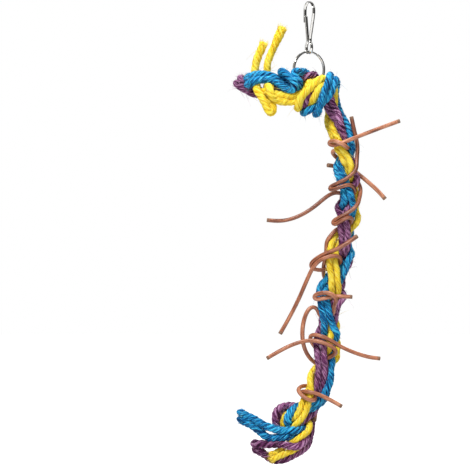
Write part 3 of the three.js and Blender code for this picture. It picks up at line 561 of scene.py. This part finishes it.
def swept_piece(name, line, sections, looks, closing):
    """A closed tube: one section of points per station, ended by the closing rings at both ends. sections
    has shape (stations, points, 2) in the normal and binormal, and closing is rows of (advance, share)."""
    tangents, normals, binormals = frames_along(line)
    rings = line[:, None] + sections[..., :1] * normals[:, None] + sections[..., 1:] * binormals[:, None]
    length = distances(line)
    head, tail = [], []
    for advance, share in closing:
        head.insert(0, line[0] - tangents[0] * advance + (rings[0] - line[0]) * share)
        tail.append(line[-1] + tangents[-1] * advance + (rings[-1] - line[-1]) * share)
    rings = np.concatenate([np.array(head), rings, np.array(tail)])
    extra = len(closing)
    along = np.concatenate([[length[0]] * extra, length, [length[-1]] * extra])
    count, around = rings.shape[:2]
    points = rings.reshape(-1, 3)
    last_advance = closing[-1][0]
    tips = np.array([line[0] - tangents[0] * last_advance, line[-1] + tangents[-1] * last_advance])
    points = np.vstack([points, tips])
    faces = []
    places = []
    for i in range(count - 1):
        for j in range(around):
            k = (j + 1) % around
            faces.append((i * around + j, i * around + k, (i + 1) * around + k, (i + 1) * around + j))
            u0, u1 = along[i] / UV_LENGTH, along[i + 1] / UV_LENGTH
            v0, v1 = j / around, (j + 1) / around
            places += [(u0, v0), (u0, v1), (u1, v1), (u1, v0)]
    for j in range(around):
        k = (j + 1) % around
        base = (count - 1) * around
        faces.append((k, j, len(points) - 2))
        faces.append((base + j, base + k, len(points) - 1))
        places += [(along[0] / UV_LENGTH, j / around)] * 3 + [(along[-1] / UV_LENGTH, j / around)] * 3
    piece = make_mesh(name, points, faces, looks)
    uv = piece.data.uv_layers.new(name="lay")
    uv.data.foreach_set("uv", np.array(places, np.float32).ravel())
    return piece, count, around


def lay_outline(depth):
    """The strand's outline at each station: its points' angles, their radii, and how near each is to the
    crown of its yarn."""
    angles = 2 * math.pi * np.arange(STRAND_POINTS) / STRAND_POINTS
    width = 2 * math.pi / YARNS
    off_crown = np.abs(angles % width - width / 2) / (width / 2)
    crown = 1 - off_crown**CROWN_POWER
    return angles, STRAND_DIAMETER / 2 * (1 - depth[:, None] * (1 - crown)), crown


def thickness(along, total, shares):
    """A strand's thickness along its length: its two ends, the top knot, the plait and the foot."""
    first, knot, plait, foot, last = shares
    foot_start = total - FOOT_LENGTH
    tip = END_LENGTH * TIP_SHARE
    places = [0, tip, END_LENGTH, KNOT_LENGTH, KNOT_LENGTH + EASE_LENGTH]
    places += [foot_start - EASE_LENGTH, foot_start, total - END_LENGTH, total - tip, total]
    values = [first, first, knot, knot, plait, plait, foot, foot, last, last]
    return np.interp(along, places, values)


def wander(count, cells):
    """A random run of values near 0 that changes evenly within each cell."""
    knots = rng.normal(0, 1, max(4, cells))
    return np.interp(np.linspace(0, len(knots) - 1, count), np.arange(len(knots)), knots)


class Fibres:
    """Thin tapering hairs, gathered into one mesh per colour."""

    SIDES = 3
    STEPS = 6
    TAPER = 0.8
    SKEW = np.array((13e-6, 21e-6, 17e-6))  # gives a straight hair a side

    def __init__(self):
        self.points = []
        self.faces = []

    def add(self, start, heading, length, radius, curl):
        """A hair that bends one way from its start."""
        t = np.linspace(0, 1, self.STEPS)[:, None]
        self.lay(start + heading * length * t + curl * length * t**2, radius)

    def lay(self, path, radius):
        """A hair along a path."""
        heading = unit(path[-1] - path[0])
        side = unit(np.cross(heading, path[self.STEPS // 2] - path[0] + self.SKEW))
        other = np.cross(heading, side)
        base = len(self.points)
        for step in range(self.STEPS):
            thick = radius * (1 - self.TAPER * step / (self.STEPS - 1))
            for k in range(self.SIDES):
                angle = 2 * math.pi * k / self.SIDES
                self.points.append(path[step] + thick * (math.cos(angle) * side + math.sin(angle) * other))
        for step in range(self.STEPS - 1):
            for k in range(self.SIDES):
                m = (k + 1) % self.SIDES
                low, high = base + step * self.SIDES, base + (step + 1) * self.SIDES
                self.faces.append((low + k, low + m, high + m, high + k))
        top = base + (self.STEPS - 1) * self.SIDES
        self.faces.append((base + 2, base + 1, base))
        self.faces.append((top, top + 1, top + 2))


fibres = {name: Fibres() for name in SISAL}


def add_hairs(hairs, line, total, thick):
    """Coarse fibres that follow a strand's surface, loose ones that stand off it, and the brush at each
    cut end."""
    tangents, normals, binormals = frames_along(line)

    def outward(at, angle):
        return math.cos(angle) * normals[at] + math.sin(angle) * binormals[at]

    for _ in range(int(total / MM * LYING_FIBRES_PER_MM)):
        reach = int(rng.uniform(*LYING_LENGTH_MM) * MM / STRAND_STEP)
        start = rng.integers(1, len(line) - reach - 1)
        angle = rng.uniform(0, 2 * math.pi)
        turn = rng.normal(-STRAND_STEP / FIBRE_DRIFT, LYING_STRAY)
        lift = rng.uniform(*LYING_STARTS), rng.uniform(*LYING_ENDS)
        path = []
        for step in range(Fibres.STEPS):
            share = step / (Fibres.STEPS - 1)
            at = start + round(share * reach)
            radius = STRAND_DIAMETER / 2 * thick[at] * (lift[0] + (lift[1] - lift[0]) * share**2)
            path.append(line[at] + outward(at, angle + turn * (at - start)) * radius)
        hairs.lay(np.array(path), rng.uniform(*LYING_RADIUS_MM) * MM)
    for number in range(int(total / MM * LOOSE_FIBRES_PER_MM) + LONG_FIBRES):
        at = rng.integers(2, len(line) - 2)
        out = outward(at, rng.uniform(0, 2 * math.pi))
        long = number < LONG_FIBRES
        way = 1 if rng.random() < 0.5 else -1
        lean = rng.uniform(*(LONG_LEAN if long else LOOSE_LEAN))
        aside = np.cross(tangents[at], out) * rng.normal(-LOOSE_SLANT * way, LOOSE_STRAY)
        heading = unit(tangents[at] * way + out * lean + aside)
        length = rng.uniform(*(LONG_LENGTH_MM if long else LOOSE_LENGTH_MM)) * MM
        curl = rng.normal(0, LOOSE_CURL, 3) + LOOSE_DROOP - out * (0 if long else LOOSE_CLING)
        start = line[at] + out * STRAND_DIAMETER / 2 * thick[at] * LOOSE_ROOT
        hairs.add(start, heading, length, rng.uniform(*LOOSE_RADIUS_MM) * MM, curl)
    for end, way in ((0, -1), (len(line) - 1, 1)):
        radius = STRAND_DIAMETER / 2 * thick[end]
        for _ in range(BRUSH_FIBRES):
            out = outward(end, rng.uniform(0, 2 * math.pi))
            share = math.sqrt(rng.random())
            heading = unit(tangents[end] * way + out * share * rng.uniform(*BRUSH_SPREAD))
            start = line[end] + out * radius * share - tangents[end] * way * BRUSH_ROOT
            length = rng.uniform(*BRUSH_LENGTH_MM) * MM
            hair_radius = rng.uniform(*BRUSH_RADIUS_MM) * MM
            hairs.add(start, heading, length, hair_radius, rng.normal(0, BRUSH_CURL, 3))


def make_strand(name, colour, shares):
    """One strand, from its upper end to its lower one."""
    centres = ring_centres(name)
    if centres[0][2] < centres[-1][2]:
        centres = centres[::-1]
    line = smooth_line(centres, STRAND_STEP, STRAND_EASING)
    along = distances(line)
    total = along[-1]
    pressed = thickness(along, total, GROOVE_SHARES)
    angles, outline, crown = lay_outline(GROOVE_DEPTH[colour] * pressed)
    # Painted shade on the frayed last end, fading out towards the strand's middle.
    painted_end_shade = TAIL_SHADE[colour] * np.interp(total - along, [0, END_SHADE_LENGTH, END_SHADE_FADE], [1, 1, 0])
    turn = -2 * math.pi * along / LAY_PITCH + TURN_WANDER * wander(len(line), int(total / TURN_CELL))
    thick = thickness(along, total, shares)
    thick = thick * (1 + GIRTH_WANDER * wander(len(line), int(total / GIRTH_CELL)))
    yarn_of = (np.arange(STRAND_POINTS) * YARNS) // STRAND_POINTS
    plump = np.stack([1 + YARN_WANDER * wander(len(line), int(total / YARN_CELL)) for _ in range(YARNS)])
    radii = outline * thick[:, None] * plump[yarn_of].T
    spin = angles[None] + turn[:, None]
    sections = np.stack([radii * np.cos(spin), radii * np.sin(spin)], axis=-1)
    closing = CLOSINGS[colour]
    extra = len(closing)
    looks = [sisal_looks[colour]]
    piece, _, _ = swept_piece(name.replace("strand", "sisal"), line, sections, looks, closing)
    painted_end_shade = np.concatenate([[painted_end_shade[0]] * extra, painted_end_shade, [painted_end_shade[-1]] * extra])
    # The crown value carries painted shade in the lay's grooves and painted light on the yarns' crowns, less
    # the painted shade of the last end.
    keep_attribute(piece, "crown", (crown[None] - painted_end_shade[:, None]).ravel())
    keep_fibre_places(piece, along, spin, extra, rng.uniform(0, FIBRE_SHIFT_MM))
    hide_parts(name)
    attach(piece, "rope")
    add_hairs(fibres[colour], line, total, thick)


def keep_attribute(piece, name, values):
    """A value at each point of the piece, its two tips taking the values beside them."""
    values = np.concatenate([values, values[:1], values[-1:]]).astype(np.float32)
    piece.data.attributes.new(name, "FLOAT", "POINT").data.foreach_set("value", values)


def keep_fibre_places(piece, along, spin, extra, shift):
    """Where each point lies on the strand in mm, for its fibres: along it, and round it with their drift
    taken out."""
    along = np.concatenate([[along[0]] * extra, along, [along[-1]] * extra])
    spin = np.concatenate([[spin[0]] * extra, spin, [spin[-1]] * extra])
    spin = spin + along[:, None] / FIBRE_DRIFT
    radius = STRAND_DIAMETER / MM / 2
    lengths = np.tile(along[:, None] / MM + shift, (1, spin.shape[1]))
    places = np.stack([lengths, radius * np.cos(spin), radius * np.sin(spin)], -1)
    places = np.vstack([places.reshape(-1, 3), places[0, :1], places[-1, :1]]).astype(np.float32)
    piece.data.attributes.new("fibre", "FLOAT_VECTOR", "POINT").data.foreach_set("vector", places.ravel())


def make_lace(name):
    """One lace, with its raw cut ends."""
    line = smooth_line(ring_centres(name), LACE_STEP, LACE_EASING)
    total = np.linalg.norm(np.diff(line, axis=0), axis=1).sum()
    angles = 2 * math.pi * np.arange(LACE_POINTS) / LACE_POINTS
    power = LACE_SQUARENESS
    squarish = (np.abs(np.cos(angles)) ** power + np.abs(np.sin(angles)) ** power) ** (-1 / power)
    thick = 1 + LACE_WANDER * wander(len(line), int(total / LACE_CELL))
    roll = ROLL_WANDER * wander(len(line), int(total / ROLL_CELL))
    radii = LACE_DIAMETER / 2 * LACE_FULLNESS * squarish[None] * thick[:, None]
    spin = angles[None] + roll[:, None]
    sections = np.stack([radii * np.cos(spin), radii * np.sin(spin)], axis=-1)
    looks = [leather, raw_leather]
    piece, count, around = swept_piece(name.replace("leather_", "tan_"), line, sections, looks, LACE_CLOSING)
    # Each point of the lace gets its painted light or shade.
    keep_attribute(piece, "painted_lace_shading", np.full(count * around, LACES[name]))
    chosen = np.zeros(len(piece.data.polygons), np.int32)
    chosen[: RAW_ROWS * around] = 1
    chosen[(count - 1 - RAW_ROWS) * around :] = 1
    piece.data.polygons.foreach_set("material_index", chosen)
    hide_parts(name)
    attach(piece, "rope")


for strand, (colour, shares) in STRANDS.items():
    make_strand(strand, colour, shares)
for lace in LACES:
    make_lace(lace)
for colour, hairs in fibres.items():
    piece = make_mesh(f"{colour}_loose_fibres", np.array(hairs.points), hairs.faces, [fibre_looks[colour]])
    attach(piece, "rope")


def strip_sides(node):
    """A bent strip's two long edges on one flank, paired from end to end."""
    points, triangles = welded(node)
    level = points @ STRIP_ACROSS
    flank = [tuple(one) for one in triangles if (level[one] > level.max() - FLANK_TOLERANCE).all()]
    count = {}
    for one in flank:
        for k in range(3):
            edge = (one[k], one[(k + 1) % 3])
            count[frozenset(edge)] = count.get(frozenset(edge), 0) + 1
    onward = {}
    for one in flank:
        for k in range(3):
            if count[frozenset((one[k], one[(k + 1) % 3]))] == 1:
                onward[one[k]] = one[(k + 1) % 3]
    loop = [next(iter(onward))]
    for _ in range(len(onward) - 1):
        loop.append(onward[loop[-1]])
    outline = points[loop]
    before = np.roll(outline, 1, axis=0) - outline
    after = np.roll(outline, -1, axis=0) - outline
    reaches = np.linalg.norm(before, axis=1) * np.linalg.norm(after, axis=1)
    square = np.abs((before * after).sum(1)) / reaches
    corners = sorted(np.argsort(square)[:4])
    if corners[1] - corners[0] != 1:
        corners = corners[1:] + corners[:1]
    one = outline[corners[1] : corners[2] + 1]
    rest = np.roll(outline, -corners[3], axis=0)
    other = rest[: len(one)][::-1]
    return one, other


def oval(thick, wide, squareness):
    """A rounded flat section: rows of thickness and width."""
    angles = 2 * math.pi * np.arange(METAL_POINTS) / METAL_POINTS
    c, s = np.cos(angles), np.sin(angles)
    power = 2 / squareness
    out = np.sign(c) * np.abs(c) ** power * thick / 2
    aside = np.sign(s) * np.abs(s) ** power * wide / 2
    return np.stack([out, aside], -1)


def metal_piece(node, body, middles, outs, asides, section):
    """A piece of flattened wire along its middles, replacing one CAD solid."""
    rings = middles[:, None] + section[None, :, :1] * outs[:, None] + section[None, :, 1:] * asides[:, None]
    first = middles[:1, None] + METAL_END_SHARE * (rings[:1] - middles[:1, None])
    last = middles[-1:, None] + METAL_END_SHARE * (rings[-1:] - middles[-1:, None])
    first = first + METAL_END_LENGTH * unit(middles[0] - middles[1])
    last = last + METAL_END_LENGTH * unit(middles[-1] - middles[-2])
    rings = np.concatenate([first, rings, last])
    count, around = rings.shape[:2]
    faces = [tuple(range(around))[::-1], tuple((count - 1) * around + j for j in range(around))]
    for i in range(count - 1):
        for j in range(around):
            k = (j + 1) % around
            faces.append((i * around + j, i * around + k, (i + 1) * around + k, (i + 1) * around + j))
    piece = make_mesh(f"polished_{node}", rings.reshape(-1, 3), faces, [nickel])
    shape = bmesh.new()
    shape.from_mesh(piece.data)
    bmesh.ops.recalc_face_normals(shape, faces=shape.faces)
    shape.to_mesh(piece.data)
    shape.free()
    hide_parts(node)
    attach(piece, body)


def make_strip(node, body):
    """The clip's bent strip: flattened wire inside its CAD solid."""
    one, other = strip_sides(node)
    wide = np.ptp(welded(node)[0] @ STRIP_ACROSS)
    thick = np.linalg.norm(one - other, axis=1).mean()
    line = smooth_line((one + other) / 2 - STRIP_ACROSS * wide / 2, METAL_STEP, METAL_EASING)
    tangents = np.gradient(line, axis=0)
    tangents /= np.linalg.norm(tangents, axis=1, keepdims=True)
    outs = np.cross(tangents, STRIP_ACROSS)
    asides = np.tile(STRIP_ACROSS, (len(line), 1))
    metal_piece(node, body, line, outs, asides, oval(thick, wide, STRIP_SQUARENESS))


def make_ring():
    """The split ring: two turns of flattened wire."""
    line = smooth_line(ring_centres("split_ring"), METAL_STEP, METAL_EASING)
    middle = line.mean(axis=0)
    axis = unit(np.cross(line[:-1] - middle, line[1:] - middle).sum(axis=0))
    outs = (line - middle) - ((line - middle) @ axis)[:, None] * axis
    outs /= np.linalg.norm(outs, axis=1, keepdims=True)
    asides = np.tile(axis, (len(line), 1))
    section = oval(RING_WIRE_RADIAL, RING_WIRE_AXIAL, RING_SQUARENESS)
    metal_piece("split_ring", "ring", line, outs, asides, section)


make_strip("clip_body", "clip")
make_strip("clip_gate", "gate")
make_ring()


def add_plane(name, size, place, turn, look):
    """A flat piece of the stage."""
    mesh = bpy.data.meshes.new(name)
    x, y = size[0] / 2, size[1] / 2
    mesh.from_pydata([(-x, -y, 0), (x, -y, 0), (x, y, 0), (-x, y, 0)], [], [(0, 1, 2, 3)])
    mesh.materials.append(look)
    plane = bpy.data.objects.new(name, mesh)
    plane.location = place
    plane.rotation_euler = turn
    bpy.context.collection.objects.link(plane)
    return plane


def floor_look():
    """A floor that glows only for the camera, reflections and what is seen through, so it shows white."""
    made = Nodes("pale_floor")
    made.shader.inputs["Base Color"].default_value = (0.6, 0.6, 0.6, 1)
    made.shader.inputs["Roughness"].default_value = 0.9
    made.shader.inputs["Specular IOR Level"].default_value = 0.0
    made.shader.inputs["Emission Color"].default_value = (1, 1, 1, 1)
    path = made.add("ShaderNodeLightPath").outputs
    seen = made.maths("MAXIMUM", path["Is Camera Ray"], path["Is Glossy Ray"])
    seen = made.maths("MAXIMUM", seen, path["Is Transmission Ray"])
    made.join(made.maths("MULTIPLY", seen, FLOOR_GLOW), made.shader.inputs["Emission Strength"])
    return made.material


def card_look():
    """A dark card, a little brighter than black."""
    made = Nodes("dark_card")
    made.shader.inputs["Base Color"].default_value = (0.02, 0.02, 0.02, 1)
    made.shader.inputs["Roughness"].default_value = 1.0
    made.shader.inputs["Specular IOR Level"].default_value = 0.0
    made.shader.inputs["Emission Color"].default_value = (1, 1, 1, 1)
    made.shader.inputs["Emission Strength"].default_value = CARD_GLOW
    return made.material


def add_lamp(name, place, aim, side, power):
    """A square area lamp that faces its aim."""
    data = bpy.data.lights.new(name, "AREA")
    data.shape = "RECTANGLE"
    data.size = data.size_y = side
    data.energy = power
    lamp = bpy.data.objects.new(name, data)
    lamp.location = place
    heading = np.array(aim, float) - np.array(place, float)
    flat = math.hypot(heading[0], heading[1])
    lamp.rotation_euler = (math.atan2(flat, -heading[2]), 0, math.atan2(-heading[0], heading[1]))
    bpy.context.collection.objects.link(lamp)


def make_stage():
    """Floor, cards, lamps and a white world."""
    add_plane("floor", (FLOOR_SIDE, FLOOR_SIDE), (0, 0, FLOOR_HEIGHT), (0, 0, 0), floor_look())
    dark = card_look()
    for name, place, turn, wide, high in CARDS:
        card = add_plane(name, (wide, high), place, turn, dark)
        card.visible_camera = False
        card.visible_diffuse = False
        card.visible_shadow = False
    for name, place, side, power in LAMPS:
        add_lamp(name, place, TOY_MIDDLE, side, power)
    world = bpy.data.worlds.new("studio")
    world.use_nodes = True
    tree = world.node_tree
    tree.nodes.clear()
    path = tree.nodes.new("ShaderNodeLightPath").outputs
    shown = path["Is Camera Ray"]
    for other in ("Is Glossy Ray", "Is Transmission Ray"):
        either = tree.nodes.new("ShaderNodeMath")
        either.operation = "MAXIMUM"
        tree.links.new(shown, either.inputs[0])
        tree.links.new(path[other], either.inputs[1])
        shown = either.outputs[0]
    strength = tree.nodes.new("ShaderNodeMapRange")
    tree.links.new(shown, strength.inputs["Value"])
    strength.inputs["To Min"].default_value = WORLD_LIGHT
    strength.inputs["To Max"].default_value = 1.0
    background = tree.nodes.new("ShaderNodeBackground")
    background.inputs["Color"].default_value = (1, 1, 1, 1)
    tree.links.new(strength.outputs["Result"], background.inputs["Strength"])
    output = tree.nodes.new("ShaderNodeOutputWorld")
    tree.links.new(background.outputs["Background"], output.inputs["Surface"])
    bpy.context.scene.world = world
    bpy.context.scene.view_settings.view_transform = "Standard"


make_stage()
